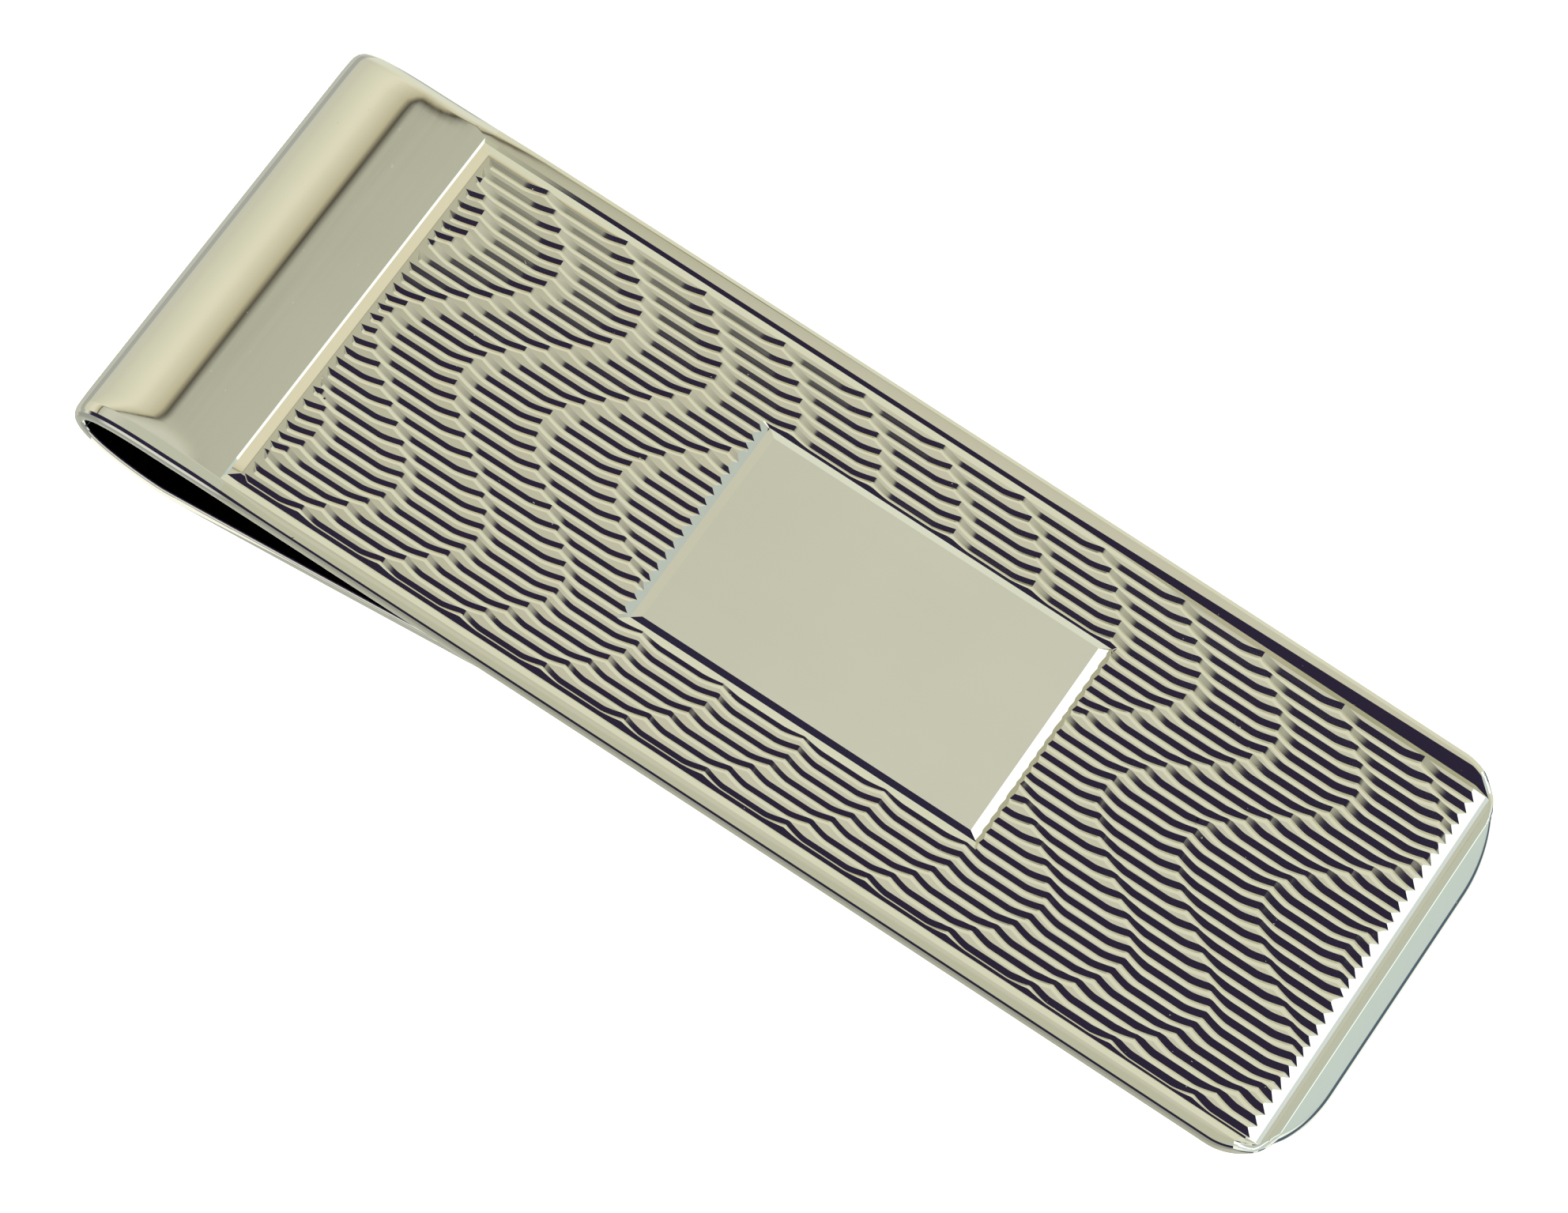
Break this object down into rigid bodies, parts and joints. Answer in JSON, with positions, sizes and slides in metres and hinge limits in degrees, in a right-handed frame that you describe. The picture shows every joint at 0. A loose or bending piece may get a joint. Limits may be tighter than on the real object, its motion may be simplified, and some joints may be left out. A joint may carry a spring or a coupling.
{
  "type": "money clip",
  "caption": "Flat spring money clip folded from one metal strip, with an engine-turned front, blank panel, turned-down lip and tapered back spring.",
  "frame": {"origin": "under the middle of the clip's length and width, on the surface that its back rests on", "axes": "+X from the fold towards the turned-down front lip, +Y across the strip, +Z out of the decorated front face"},
  "size_m": [0.0538, 0.0198, 0.0031],
  "materials": {
    "polished_plate": "mirror-polished pale silver plate, engine turned on the front"
  },
  "bodies": {
    "front": {"front_plate": "polished_plate"},
    "fold": {"fold_end": "polished_plate"},
    "root": {"spring_root": "polished_plate"},
    "tongue": {"spring_tongue": "polished_plate"}
  },
  "joints": [
    {"name": "upper_fold_flex", "type": "hinge", "parent": "front", "child": "fold", "pos_m": [-0.02536, 0, 0.00256], "axis": [0, 1, 0], "range_deg": [0, 3], "stiffness_Nm_per_rad": 4.5, "springref_deg": -0.57},
    {"name": "lower_fold_flex", "type": "hinge", "parent": "fold", "child": "root", "pos_m": [-0.02448, 0, 0.00045], "axis": [0, 1, 0], "range_deg": [0, 3]},
    {"name": "spring_flex", "type": "hinge", "parent": "root", "child": "tongue", "pos_m": [-0.01275, 0, 0.0008], "axis": [0, 1, 0], "range_deg": [0, 3]}
  ],
  "couplings": [
    {"joint": "lower_fold_flex", "follows": "upper_fold_flex", "ratio": 1},
    {"joint": "spring_flex", "follows": "upper_fold_flex", "ratio": 1}
  ]
}
